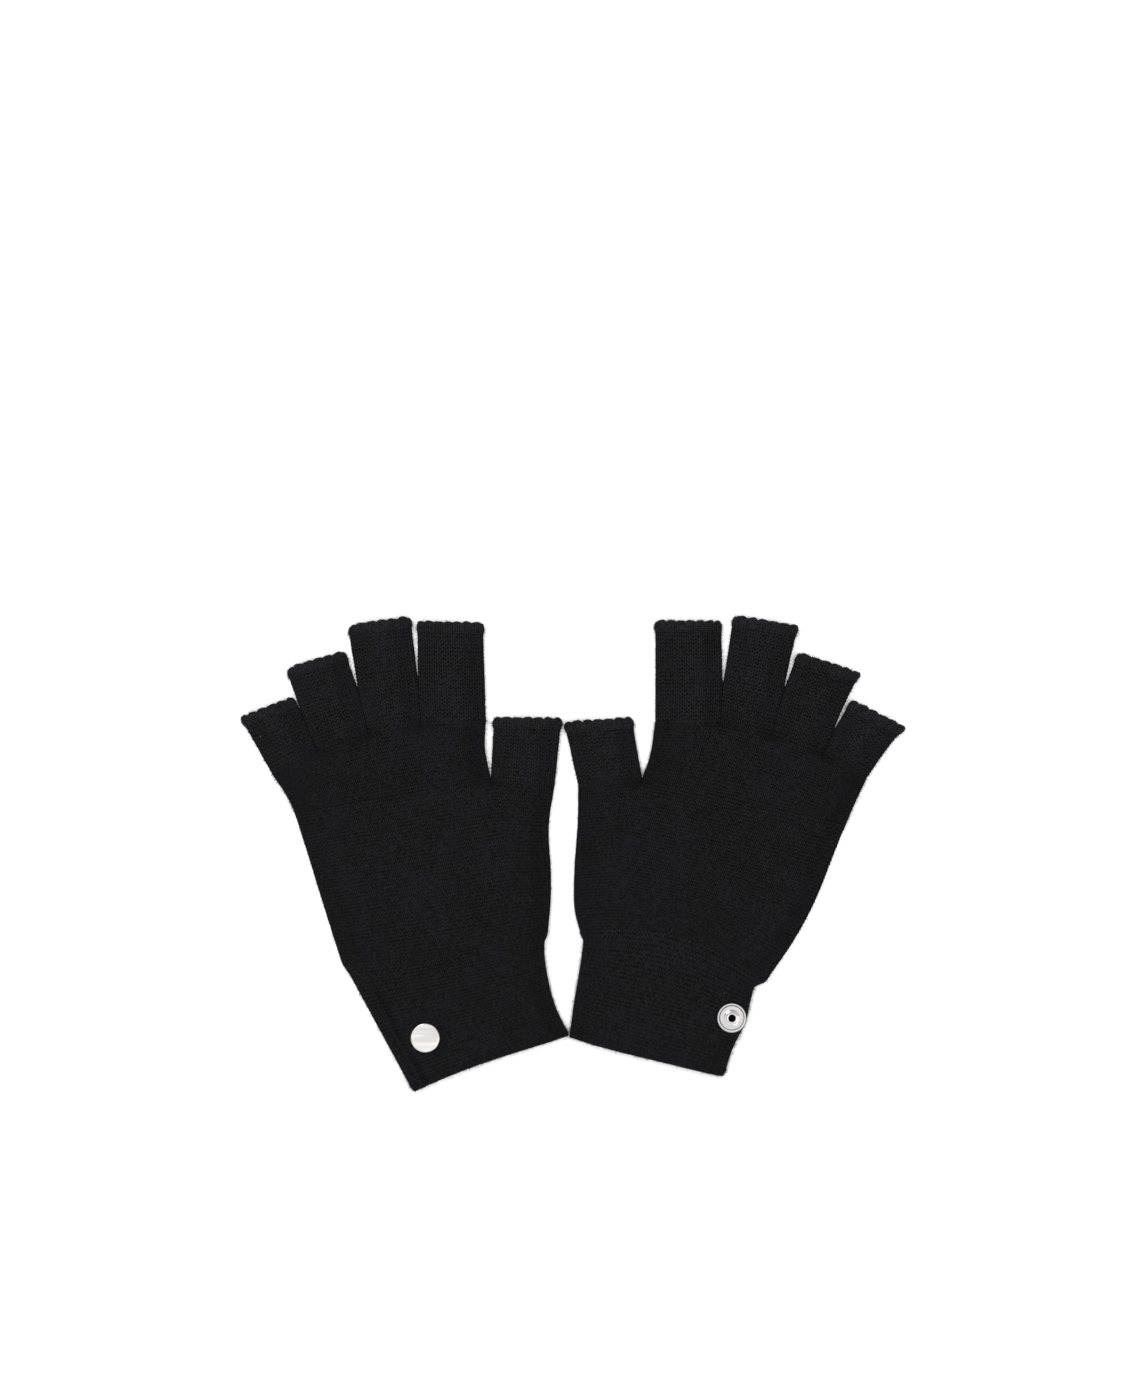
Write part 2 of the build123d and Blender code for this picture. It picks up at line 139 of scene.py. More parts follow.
RIGHT = Glove(
    name="right", side=-1, place=(43.8, -43.47), wrist_half=(40.2, 10.8),
    index_corner=(7.6, 100.6), index_side=(9.7, 86.5),
    root_tilts=(-1.8, 13.0, 21.0, 33.0), tip_tilts=(0.8, 9.2, 18.4, 27.0), leans=(0.2, 9.9, 20.0, 31.2),
    thumb_fork=(13.3, 76.0), thumb_root_tilt=-6.5, thumb_tip_tilt=-4.0, thumb_lean=-11.2,
    thumb_side=[(42.5, 21.5), (42.3, 38.0), (41.0, 56.8)],
    outer_side=[(-78.2, 65.4), (-70.9, 48.2), (-61.3, 24.1), (-52.2, 6.9)],
    cuff_insets=(2.2, 4.4), cuff_thumb_side=[(39.9, -4.0), (42.6, -20.0), (44.6, -34.8)],
    cuff_outer_side=[(-33.3, -20.0), (-31.1, -29.0), (-25.5, -40.5), (-22.0, -52.0)],
    snap_spot=(-25.0, -26.4),
    wrist_bow=9.0, hem_bow=-0.6, hem_peak=0.7, palm_crease=0.0, cuff_crease=0.0, seed=8,
    touches=(14.0, 17.0, 9.0), splay={"middle": 1.0, "ring": 2.0, "little": 1.6},
    rounding={"index": 1.5, "middle": 1.3, "ring": 1.0, "little": 1.0, "thumb": 1.8},
)
GLOVES = (LEFT, RIGHT)

# %% [markdown]
# ## Corners and lines in the plan
# A stall is settled by its two widths, its length and which way it leans. Its corners follow from those.

# %% Plan geometry
def vec(point):
    return np.array(point, float)


def unit(v):
    return v / np.linalg.norm(v)


def across(tilt):
    """Unit plan vector along a root or an open end, from its thumb side outwards."""
    return vec((-cos(radians(tilt)), -sin(radians(tilt))))


def roots(glove):
    """Thumb-side and outer end of every stall's root line."""
    found, corner = {}, vec(glove.index_corner)
    for (name, sizes), tilt in zip(STALLS.items(), glove.root_tilts):
        far = corner + across(tilt) * sizes[0]
        found[name] = (corner, far)
        corner = far
    fork = vec(glove.thumb_fork)
    found["thumb"] = (fork - across(glove.thumb_root_tilt) * THUMB[0], fork)
    return found


def stall_corners(glove, name):
    """Root thumb side, tip thumb side, tip outer side and root outer side of a stall."""
    near, far = roots(glove)[name]
    if name == "thumb":
        sizes, tip_tilt, lean = THUMB, glove.thumb_tip_tilt, glove.thumb_lean
    else:
        at = list(STALLS).index(name)
        sizes, tip_tilt, lean = STALLS[name], glove.tip_tilts[at], glove.leans[at]
    tip = (near + far) / 2 + vec((-sin(radians(lean)), cos(radians(lean)))) * sizes[2]
    reach = across(tip_tilt) * sizes[1] / 2
    return near, tip - reach, tip + reach, far


def through(points, spacing=0.5):
    """A smooth line through plan points, as many close points along it (a Catmull-Rom curve)."""
    p = np.array(points, float)
    if len(p) == 2:
        return p
    p = np.vstack([2 * p[0] - p[1], p, 2 * p[-1] - p[-2]])
    line = [p[1:2]]
    for a, b, c, d in zip(p, p[1:], p[2:], p[3:]):
        steps = max(2, int(np.linalg.norm(c - b) / spacing))
        t = (np.arange(1, steps + 1) / steps)[:, None]
        line.append(0.5 * (2 * b + (c - a) * t + (2 * a - 5 * b + 4 * c - d) * t**2
                           + (3 * b - a - 3 * c + d) * t**3))
    return np.vstack(line)


def along(line, share):
    """Points at these shares of a line's length."""
    run = np.concatenate([[0], np.cumsum(np.linalg.norm(np.diff(line, axis=0), axis=1))])
    at = np.asarray(share) * run[-1]
    return np.stack([np.interp(at, run, line[:, 0]), np.interp(at, run, line[:, 1])], axis=-1)


def length(line):
    return float(np.linalg.norm(np.diff(line, axis=0), axis=1).sum())


for glove in GLOVES:
    palm = np.linalg.norm(roots(glove)["index"][0] - roots(glove)["little"][1])
    print(glove.name, "across the knuckles", round(float(palm), 1), "mm")

# %% [markdown]
# ## From plan to stitches
# Knit could be a flat sheet with stitches printed on it, or every loop of yarn as its own tube. A print goes
# flat at the glove's edge, and tens of thousands of loops make far too heavy a mesh. Between them is this
# way:
# one mesh per tube, laid on the wales and courses of the knit, four columns to a wale and three rows to a
# course, and raised into the two slanting legs of every stitch. A row of the mesh is one closed loop round
# the flattened tube. Where stalls leave the hand, one wide loop pinches into several.

# %% Rows of a flattened tube
COLUMNS, ROWS = 4, 3          # mesh columns in a wale, mesh rows in a course
WALE, COURSE = 2.0, 1.5       # size of a stitch
LEVEL_FOLD = 0.4              # a tube stays at its fold's thickness for this share of the fold's radius


def smooth(x):
    x = np.clip(x, 0, 1)
    return x * x * (3 - 2 * x)


def lobe(x, width, half, inset):
    """Half thickness at ways x across a face: round at its two folds, fuller between them."""
    fold = FOLD_HALF - inset
    near = np.clip(np.minimum(x, width - x) - inset, 0, None)
    narrow = min(1.0, (width / 2 - FOLD_HALF) / RISE)
    round_fold = np.sqrt(1 - np.clip(1 - near / fold, 0, 1) ** 2)
    swell = smooth((near - LEVEL_FOLD * fold) / (RISE * narrow + 0.1))
    return (fold + (half - FOLD_HALF) * swell) * round_fold


def spread(start, end, count, fold_start, fold_end):
    """Columns from start to end, closer together where the knit turns over a fold."""
    turn = FOLD_HALF * pi / 2
    total = (end - start) + (turn - FOLD_HALF) * (fold_start + fold_end)
    s = np.arange(count * COLUMNS + 1) / (count * COLUMNS) * total
    back = total - s

    def over_fold(way):
        return FOLD_HALF * (1 - np.cos(np.clip(way / FOLD_HALF, 0, pi / 2)))

    x = np.where(s < turn, over_fold(s), s - turn + FOLD_HALF) if fold_start else s
    return start + np.where((back < turn) & bool(fold_end), end - start - over_fold(back), x)


def row(knots, wales, split=0.0, half=HALF, inset=0.0):
    """One closed loop round the tube, through its knots. split pinches it into a lobe between each two."""
    path = np.array(knots)
    runs = np.linalg.norm(np.diff(path, axis=0), axis=1)
    marks = np.concatenate([[0], np.cumsum(runs)])
    whole, thick = [], []
    for at, count in enumerate(wales):
        first, last = at == 0, at == len(wales) - 1
        wide = spread(marks[at], marks[at + 1], count, first, last)
        pinched = spread(marks[at], marks[at + 1], count, True, True)
        x = wide + (pinched - wide) * split
        lone = lobe(x - marks[at], runs[at], half, inset)
        together = lobe(x, marks[-1], half, inset)
        keep = slice(None) if last else slice(-1)
        whole.append(x[keep])
        thick.append((together + (lone - together) * split)[keep])
    x, thick = np.concatenate(whole), np.concatenate(thick)
    x = np.clip(x, inset, marks[-1] - inset)
    plan = np.stack([np.interp(x, marks, path[:, 0]), np.interp(x, marks, path[:, 1])], axis=-1)
    return np.vstack([np.column_stack([plan, thick]), np.column_stack([plan, -thick])[-2:0:-1]])


def settled(loop, inset=0.0):
    """Lays a loop on the table: its lower face goes flat and its upper face keeps the swell."""
    middle = np.maximum(FOLD_HALF, np.abs(loop[:, 2]) + inset)
    return np.column_stack([loop[:, :2], FLOOR_GAP + middle + loop[:, 2]])


def creased(loop, edge, place, width, depth):
    """Presses a crease into the upper face at a distance from an edge point, with a soft ridge beside it."""
    loop = loop.copy()
    away = np.linalg.norm(loop[:, :2] - edge, axis=1) - place
    dip = np.exp(-((away / width) ** 2)) - 0.5 * np.exp(-(((away + 2.4 * width) / (1.4 * width)) ** 2))
    loop[:, 2] -= depth * dip * (loop[:, 2] > FOLD_HALF)
    return loop


# %% [markdown]
# ## Relief
# A relief is a height from 0 to 1 over wales u and courses v. Plain knit, rib and the cast-off edge have one
# each, and slow waves are added over all of them, since no glove lies quite flat.

# %% Stitches as relief
def jersey(u, v):
    """Height of plain knit, 0 to 1. u counts wales and v courses. Each stitch is a V of two slanting legs."""
    a = np.abs(u % 1 - 0.5) * 2
    leg = 1 - (2 * a - 1) ** 2
    bead = 0.5 + 0.5 * np.cos(2 * pi * (v - 0.75 * a))
    return leg ** 0.7 * (0.45 + 0.55 * bead ** 0.7)


def rib(u, v):
    """Height of one-by-one rib: a raised column of stitches, then a sunk one."""
    s = np.abs(u % 1 - 0.5) * 2
    ridge = smooth((0.78 - s) / 0.55)
    split = 1 - 0.3 * np.exp(-((s / 0.15) ** 2))
    bead = 0.5 + 0.5 * np.cos(2 * pi * (v - 0.8 * s))
    return ridge * split * (0.8 + 0.2 * bead)


def scallop(u):
    """0 between two scallops of a cast-off edge and 1 on top of each. One takes up two wales."""
    return np.abs(np.sin(pi * u / 2))


def oversewn(u, v):
    """Height of the cast-off edge: plain knit that swells into a fat lump of yarn under each scallop."""
    lump = 0.1 + 0.9 * scallop(u + 0.12 * v) ** 0.8
    rim = smooth((v - 0.6) / 2.4)
    return jersey(u, v) * (1 - rim) + lump * (0.75 + 0.25 * jersey(u, v)) * rim


def relax(points):
    """Slow waves in the lie of the fabric, from where it lies, so neighbouring pieces agree."""
    x, y = points[..., 0], points[..., 1]
    wave = np.sin(x / 9.3 + 1.3 * np.sin(y / 17.0)) * np.sin(y / 12.1 + 0.8)
    return 0.24 * wave + 0.14 * np.sin(x / 4.1 - y / 6.7 + 2.0) * np.sin(x / 15.0 + y / 5.3)


print("plain knit, mean height", round(float(jersey(*np.mgrid[0:1:0.05, 0:1:0.05]).mean()), 2))

# %% [markdown]
# ## Fibres and meshes
# Loose fibres soften the outline, mostly where the yarn turns over an edge. Then each face is closed with a
# smoother lining inside it, so that every piece is one closed skin with real thickness.

# %% Loose fibres
FIBRE = 0.03                  # radius of one fibre at its root
BENDS = 3                     # points along a fibre before its tip
SIDES = 3                     # sides of its tube
TAPER = 0.4                   # share of its radius that it loses towards its tip
FLAT_SHARE = 0.006            # chance of a fibre on a flat face, where a fold has 1
SPLAY, CURL = 0.75, 0.7       # how far fibres stray from straight out, and how much they curl
SHORT, LONG = 0.3, 3.5        # shortest and longest fibre


def fibres(sites, normals, count, reach, rng):
    """Vertices and faces of hairs that leave the yarn, mostly where it turns over an edge."""
    sideways = np.linalg.norm(normals[:, :2], axis=1)
    chance = (FLAT_SHARE + sideways ** 2) * (sites[:, 2] > FOLD_HALF / 2)
    pick = rng.choice(len(sites), count, p=chance / chance.sum())
    out = normals[pick] + rng.normal(0, SPLAY, (count, 3))
    out /= np.linalg.norm(out, axis=1, keepdims=True)
    bend = np.cross(out, rng.normal(0, 1, (count, 3)))
    bend /= np.maximum(np.linalg.norm(bend, axis=1, keepdims=True), 1e-6)
    size = np.clip(reach * rng.lognormal(0, 0.55, count), SHORT, LONG)[:, None]
    curl = rng.normal(0, CURL, (count, 1))
    side = np.cross(out, bend)
    rings = []
    for at in range(BENDS):
        t = at / BENDS
        centre = sites[pick] + out * size * t + bend * size * curl * t * t
        for turn in range(SIDES):
            angle = 2 * pi * turn / SIDES
            rings.append(centre + (bend * cos(angle) + side * sin(angle)) * FIBRE * (1 - TAPER * t))
    tip = sites[pick] + out * size + bend * size * curl
    points = np.stack([*rings, tip], axis=1)
    per = points.shape[1]
    last = per - 1 - SIDES
    turns = [(k, (k + 1) % SIDES) for k in range(SIDES)]
    quads = [(r + a, r + b, r + SIDES + b, r + SIDES + a) for r in range(0, last, SIDES) for a, b in turns]
    ends = [(last + a, last + b, per - 1) for a, b in turns] + [(2, 1, 0)]
    first = np.arange(count)[:, None, None] * per
    quads, ends = np.array(quads) + first, np.array(ends) + first
    return points.reshape(-1, 3), quads.reshape(-1, 4), ends.reshape(-1, 3)


# %% Grids to meshes
def grid_faces(rows, columns, course, flip):
    """Faces of a grid that closes on itself both ways, and the stitch coordinates of their corners."""
    r, c = np.meshgrid(np.arange(rows), np.arange(columns), indexing="ij")
    r2, c2 = (r + 1) % rows, (c + 1) % columns
    quads = np.stack([r * columns + c, r * columns + c2, r2 * columns + c2, r2 * columns + c], axis=-1)
    quads = quads.reshape(-1, 4)
    u = np.stack([c, c + 1, c + 1, c], axis=-1) / COLUMNS
    after = np.append(course[1:], course[-1] + 1)
    v = np.stack([course[r], course[r], after[r], after[r]], axis=-1)
    uv = np.stack([u, v], axis=-1).reshape(-1, 4, 2)
    return (quads[:, ::-1], uv[:, ::-1]) if flip else (quads, uv)


def write_mesh(name, points, faces, uv):
    """A smooth mesh from points in millimetres, lists of same-sized faces, and a stitch map."""
    loops = np.concatenate([f.ravel() for f in faces])
    sizes = np.concatenate([np.full(len(f), f.shape[1]) for f in faces])
    mesh = bpy.data.meshes.new(name)
    mesh.vertices.add(len(points))
    mesh.vertices.foreach_set("co", (points * MM).astype(np.float32).ravel())
    mesh.loops.add(len(loops))
    mesh.loops.foreach_set("vertex_index", loops.astype(np.int32))
    mesh.polygons.add(len(sizes))
    mesh.polygons.foreach_set("loop_start", (np.cumsum(sizes) - sizes).astype(np.int32))
    mesh.update(calc_edges=True)
    layer = mesh.uv_layers.new(name="stitches")
    layer.data.foreach_set("uv", uv.astype(np.float32).ravel())
    mesh.polygons.foreach_set("use_smooth", np.ones(len(sizes), bool))
    piece = bpy.data.objects.new(name, mesh)
    bpy.context.collection.objects.link(piece)
    print(name, "faces", len(sizes))
    return piece


LEVEL = 0.55                  # the height in the relief that lies where the smooth tube would
UNEVEN = (0.8, 1.15)          # smallest and largest stitch, as shares of the relief's depth
SEAM_WIDTH, SEAM_RIDGE = 0.35, 0.9    # half width of a seam's groove and how far off its ridge is, in courses


def face_normals(outer):
    """The outward way at every point of a face, and how wide a wale is there."""
    rows, columns = outer.shape[:2]
    du = np.roll(outer, -1, axis=1) - np.roll(outer, 1, axis=1)
    normal = np.cross(du, np.gradient(outer, axis=0))
    normal /= np.maximum(np.linalg.norm(normal, axis=2, keepdims=True), 1e-9)
    if normal[rows // 2, columns // 4, 2] < 0:
        normal = -normal
    return normal, np.linalg.norm(du, axis=2) / 2 * COLUMNS


def sunk_seams(lift, seams):
    """Sinks a groove of these depths along the first and the last row, with a soft ridge beside each."""
    rows = len(lift)
    for at, seam in zip((0, rows - 1), seams):
        away = np.abs(np.arange(rows) - at)[:, None] / ROWS
        lift -= seam * np.exp(-((away / SEAM_WIDTH) ** 2))
        lift += 0.4 * seam * np.exp(-(((away - SEAM_RIDGE) / 0.4) ** 2))
    return lift


def tube_mesh(glove, name, outer, inner, relief, depth, hairs, reach=0.8, first=0.0, seams=(0, 0)):
    """One closed piece of knit from its outer and inner rows. relief sinks the valleys between stitches."""
    rng = np.random.default_rng([glove.seed, *name.encode()])
    outer, inner = np.array(outer), np.array(inner)[::-1]
    rows, columns = outer.shape[:2]
    u = np.arange(columns)[None, :] / COLUMNS + np.zeros((rows, 1))
    v = first + np.arange(rows)[:, None] / ROWS + np.zeros((1, columns))
    normal, wale = face_normals(outer)
    uneven = rng.uniform(*UNEVEN, (int(v.max()) + 2, columns // COLUMNS + 1))[v.astype(int), u.astype(int)]
    lift = (relief(u, v) * uneven - LEVEL) * depth * np.clip(wale / WALE, 0.3, 1.1)
    lift = sunk_seams(lift, seams)
    upper = np.clip(outer[..., 2] / HALF - 1, 0, 1)
    grid = outer + normal * lift[..., None]
    grid[..., 2] = np.maximum(grid[..., 2] + relax(outer) * upper, FLOOR_GAP / 2)
    hair_points, hair_quads, hair_ends = fibres(grid.reshape(-1, 3), normal.reshape(-1, 3), hairs, reach, rng)
    course = np.concatenate([v[:, 0], v[-1, 0] + 1 + np.arange(len(inner))])
    quads, uv = grid_faces(rows + len(inner), columns, course, glove.side > 0)
    points = np.concatenate([grid.reshape(-1, 3), inner.reshape(-1, 3)])
    start = len(points)
    points = np.concatenate([points, hair_points])
    points[:, 2] = np.maximum(points[:, 2], FLOOR_GAP / 2)
    points[:, 0] = glove.place[0] + glove.side * points[:, 0]
    points[:, 1] += glove.place[1]
    plain = np.full((hair_quads.size + hair_ends.size, 2), 0.25)
    return write_mesh(name, points, [quads, hair_quads + start, hair_ends + start],
                      np.concatenate([uv.reshape(-1, 2), plain]))


def hinge_line(joint_name, reach, along_y):
    """Start and end of a stretch of reach millimetres from a joint's axis out, on the side that along_y
    points to.
    """
    joint = joints[joint_name]
    start = vec(joint["pos_m"])
    out = np.cross(vec((0, 0, 1)), vec(joint["axis"]))
    out = out if out[1] * along_y > 0 else -out
    return tuple(start), tuple(start + out * reach * MM)

# %% [markdown]
# ## Finishes
# Black wool is never quite black. A loop's crown catches a little light and the hollows between wales lose
# it, and that light and shade is painted into the colour too: a painted highlight on every crown and painted
# shade in the hollows. Loose fibres give the whole face a soft sheen. The sheen is the shader's own. The
# yarn's twist, the painted crowns, the mottling and the specks of lint sit in one node group that every knit
# uses with its own values. The snap is nickel on brass: satin on the cap, where it was brushed before
# plating, and bright on the stud.

# %% Node helpers
def new_material(name):
    material = bpy.data.materials.new(name)
    material.use_nodes = True
    tree = material.node_tree
    return material, tree, tree.nodes["Principled BSDF"]


def node(tree, kind, **values):
    made = tree.nodes.new(kind)
    for key, value in values.items():
        if key in made.inputs:
            made.inputs[key].default_value = value
        else:
            setattr(made, key, value)
    return made


def link(tree, *pairs):
    for source, target in pairs:
        tree.links.new(source, target)


def maths(tree, operation, a, b=None):
    made = tree.nodes.new("ShaderNodeMath")
    made.operation = operation
    for at, value in enumerate((a, b)):
        if value is None:
            continue
        if isinstance(value, (int, float)):
            made.inputs[at].default_value = value
        else:
            tree.links.new(value, made.inputs[at])
    return made.outputs[0]


# %% The yarn group
LINT_SCALE = 42.0        # one speck of lint in about a 24 mm cube, and the knit's face meets few of them


def stitch_lines(group):
    """How far a point is from the middle of its wale, how high up a leg, and how far along the slant."""
    stitches = node(group, "ShaderNodeUVMap", uv_map="stitches")
    split = group.nodes.new("ShaderNodeSeparateXYZ")
    link(group, (stitches.outputs[0], split.inputs[0]))
    wale = maths(group, "FRACT", split.outputs[0])
    a = maths(group, "MULTIPLY", maths(group, "ABSOLUTE", maths(group, "SUBTRACT", wale, 0.5)), 2.0)
    away = maths(group, "SUBTRACT", maths(group, "MULTIPLY", a, 2.0), 1.0)
    leg = maths(group, "SUBTRACT", 1.0, maths(group, "MULTIPLY", away, away))
    slant = maths(group, "SUBTRACT", split.outputs[1], maths(group, "MULTIPLY", a, 0.75))
    return a, leg, slant


def yarn_group():
    """Shade, tint and height of yarn in stitch coordinates: legs and courses, twist, fuzz and slow mottling.
    Shade is painted light: a painted highlight on the crowns of the legs and painted shade in the hollows.
    Lint is the size of a speck, as a share of the way between specks."""
    group = bpy.data.node_groups.new("yarn", "ShaderNodeTree")
    for name, value in (("Twist", 7.0), ("Fuzz", 950.0), ("Mottle", 70.0), ("Lint", 0.02)):
        group.interface.new_socket(name, in_out="INPUT", socket_type="NodeSocketFloat").default_value = value
    for name in ("Shade", "Tint", "Height", "Speck"):
        group.interface.new_socket(name, in_out="OUTPUT", socket_type="NodeSocketFloat")
    inside, outside = group.nodes.new("NodeGroupInput"), group.nodes.new("NodeGroupOutput")
    a, leg, slant = stitch_lines(group)
    bead = maths(group, "COSINE", maths(group, "MULTIPLY", slant, 2 * pi))
    twist = maths(group, "MULTIPLY", inside.outputs["Twist"], 2 * pi)
    ply = maths(group, "SINE", maths(group, "MULTIPLY", maths(group, "ADD", slant, a), twist))
    place = group.nodes.new("ShaderNodeTexCoord")
    noises = []
    for name, detail in (("Fuzz", 3.0), ("Mottle", 2.0)):
        noise = node(group, "ShaderNodeTexNoise", Detail=detail, Roughness=0.65)
        link(group, (place.outputs["Object"], noise.inputs["Vector"]),
             (inside.outputs[name], noise.inputs["Scale"]))
        noises.append(noise.outputs[0])
    fuzz, mottle = noises
    # crown feeds the bump and, through shade, the painted highlight on each leg's crown and painted shade in
    # the hollows
    crown = maths(group, "MULTIPLY", leg, maths(group, "ADD", 0.55, maths(group, "MULTIPLY", bead, 0.45)))
    grey = maths(group, "ADD", maths(group, "MULTIPLY", fuzz, 1.0), maths(group, "MULTIPLY", mottle, 0.2))
    shade = maths(group, "ADD", maths(group, "MULTIPLY", crown, 0.5), grey)
    raised = maths(group, "ADD", maths(group, "MULTIPLY", ply, 0.12), maths(group, "MULTIPLY", fuzz, 0.9))
    height = maths(group, "ADD", maths(group, "MULTIPLY", crown, 0.6), raised)
    scatter = node(group, "ShaderNodeTexVoronoi", Scale=LINT_SCALE)
    link(group, (place.outputs["Object"], scatter.inputs["Vector"]))
    speck = maths(group, "LESS_THAN", scatter.outputs["Distance"], inside.outputs["Lint"])
    link(group, (shade, outside.inputs["Shade"]), (mottle, outside.inputs["Tint"]),
         (height, outside.inputs["Height"]), (maths(group, "MULTIPLY", speck, fuzz), outside.inputs["Speck"]))
    return group


YARN = yarn_group()
print("yarn group", len(YARN.nodes), "nodes")


# %% Knit materials
# DARK is the painted shade in the hollows between legs and LIGHT the painted highlight on their crowns
DARK, LIGHT = (0.0010, 0.0010, 0.0011), (0.0158, 0.0158, 0.0165)
BLUE = (0.94, 0.92, 1.18)      # the dye's cast where the mottling is strongest
LINT_GREY = (0.16, 0.16, 0.17, 1)


def knit_material(name, lift, sheen, relief, twist=7.0):
    """lift makes a yarn lighter or darker than the plain knit's."""
    material, tree, shader = new_material(name)
    yarn = node(tree, "ShaderNodeGroup", node_tree=YARN)
    yarn.inputs["Twist"].default_value = twist
    # the ramp paints the crowns lighter and the hollows darker, with random fuzz and mottling between
    ramp = tree.nodes.new("ShaderNodeValToRGB")
    low, high = ramp.color_ramp.elements
    low.position, high.position = 0.6, 0.95
    low.color, high.color = (*(c * lift for c in DARK), 1), (*(c * lift for c in LIGHT), 1)
    cast = tree.nodes.new("ShaderNodeValToRGB")
    cast.color_ramp.elements[0].position, cast.color_ramp.elements[1].position = 0.45, 0.75
    cast.color_ramp.elements[0].color, cast.color_ramp.elements[1].color = (1, 1, 1, 1), (*BLUE, 1)
    mix = node(tree, "ShaderNodeMix", data_type="RGBA", blend_type="MULTIPLY")
    mix.inputs["Factor"].default_value = 1.0
    dusty = node(tree, "ShaderNodeMix", data_type="RGBA", blend_type="MIX")
    colour_in, dusty_in = ([s for s in made.inputs if s.type == "RGBA"] for made in (mix, dusty))
    colour_out, dusty_out = ([s for s in made.outputs if s.type == "RGBA"][0] for made in (mix, dusty))
    dusty_in[1].default_value = LINT_GREY
    bump = node(tree, "ShaderNodeBump", Strength=0.8, Distance=relief * MM)
    link(tree, (yarn.outputs["Shade"], ramp.inputs[0]), (yarn.outputs["Tint"], cast.inputs[0]),
         (ramp.outputs[0], colour_in[0]), (cast.outputs[0], colour_in[1]),
         (colour_out, dusty_in[0]), (yarn.outputs["Speck"], dusty.inputs["Factor"]),
         (dusty_out, shader.inputs["Base Color"]),
         (yarn.outputs["Height"], bump.inputs["Height"]), (bump.outputs[0], shader.inputs["Normal"]))
    shader.inputs["Roughness"].default_value = 0.95
    shader.inputs["Specular IOR Level"].default_value = 0.12
    shader.inputs["Sheen Weight"].default_value = sheen
    shader.inputs["Sheen Roughness"].default_value = 0.5
    shader.inputs["Sheen Tint"].default_value = (0.8, 0.82, 1.0, 1)
    return material


PLAIN = knit_material("black_plain_knit", 1.0, 0.012, 0.25)
STALL = knit_material("black_stall_knit", 1.15, 0.012, 0.25)
RIB = knit_material("black_rib_knit", 0.95, 0.012, 0.25)
EDGE = knit_material("black_edging_yarn", 1.75, 0.02, 0.5, twist=4.0)


def metal_material(name, color, roughness, scratch, sweep):
    """scratch is how strong the fine brushing is, and sweep how deep its slow bands are, in millimetres."""
    material, tree, shader = new_material(name)
    place = tree.nodes.new("ShaderNodeTexCoord")
    stretch = node(tree, "ShaderNodeMapping")
    stretch.inputs["Scale"].default_value = (350, 9000, 350)
    grain = node(tree, "ShaderNodeTexNoise", Scale=1.0, Detail=4.0, Roughness=0.6)
    cloud = node(tree, "ShaderNodeTexNoise", Scale=420.0, Detail=2.0)
    gloss = node(tree, "ShaderNodeMapRange")
    gloss.inputs["To Min"].default_value = roughness * 0.8
    gloss.inputs["To Max"].default_value = roughness * 1.25
    bump = node(tree, "ShaderNodeBump", Strength=scratch, Distance=0.00002)
    wide = node(tree, "ShaderNodeMapping")
    wide.inputs["Scale"].default_value = (40, 260, 40)
    bands = node(tree, "ShaderNodeTexNoise", Scale=1.0, Detail=1.0)
    tilt = node(tree, "ShaderNodeBump", Strength=1.0, Distance=sweep * MM)
    shader.inputs["Base Color"].default_value = (*color, 1)
    shader.inputs["Metallic"].default_value = 1.0
    link(tree, (place.outputs["Object"], stretch.inputs[0]), (stretch.outputs[0], grain.inputs["Vector"]),
         (place.outputs["Object"], cloud.inputs["Vector"]), (cloud.outputs[0], gloss.inputs[0]),
         (gloss.outputs[0], shader.inputs["Roughness"]), (grain.outputs[0], bump.inputs["Height"]),
         (place.outputs["Object"], wide.inputs[0]), (wide.outputs[0], bands.inputs["Vector"]),
         (bands.outputs[0], tilt.inputs["Height"]), (tilt.outputs[0], bump.inputs["Normal"]),
         (bump.outputs[0], shader.inputs["Normal"]))
    return material


SATIN = metal_material("satin_nickel", (0.75, 0.725, 0.70), 0.30, 0.5, 1.3)
BRIGHT = metal_material("bright_nickel", (0.66, 0.65, 0.65), 0.08, 0.08, 0.1)
for part, material in (("snap_cap", SATIN), ("snap_stud", BRIGHT), ("snap_post", BRIGHT),
                       ("snap_socket", BRIGHT), ("snap_spring", BRIGHT),
                       ("left_snap_stay", EDGE), ("right_snap_stay", EDGE)):
    slots = frame["nodes"][part].data.materials
    slots.clear()
    slots.append(material)
print("materials", [m.name for m in (PLAIN, STALL, RIB, EDGE, SATIN, BRIGHT)])


def finish_piece(piece, material, body, replaces=(), bend=None):
    """Gives a knit piece its finish, hides the rigid parts it replaces and attaches it to its body.
    A piece given a bend is not attached: its place is baked into its points instead.
    """
    piece.data.materials.append(material)
    if bend:
        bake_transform(piece)
    else:
        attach(piece, body)
    if replaces:
        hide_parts(*replaces)

# %% [markdown]
# ## The hands
# The hand is knitted up from the wrist as one wide tube. At the fork the thumb's wales leave it, and at the
# knuckles the rest divide among four fingers. So it is two pieces here: the palm, whose last course pinches
# into a hand lobe and a thumb lobe, and the knuckles, whose last course pinches into four.

# %% Hands
STALL_BEND, CUFF_BEND = 13.0, 11.0      # length of the stretch from a stall's or the cuff's fold axis
FORK_SHARE = 0.78                       # how far up the outer side the thumb's fork lies
GUSSET_SHARE = 0.86                     # share of the wrist that the fingers' wales take
FORK_RUN = 5.0                          # a fork's dimple reaches this far down the hand
STITCH_DEPTH, RIB_DEPTH, SEAM = 0.52, 0.5, 0.1
PALM_FIBRES, KNUCKLE_FIBRES = 1700, 2000
LINING_ROWS = 9
PALM_CREASE = (9.0, 1.3)                # how far the hand's crease is from the edge, and its width
MAIN = sum(STALLS[name][3] for name in FINGERS)


def courses(line):
    return max(4, round(length(line) / COURSE))


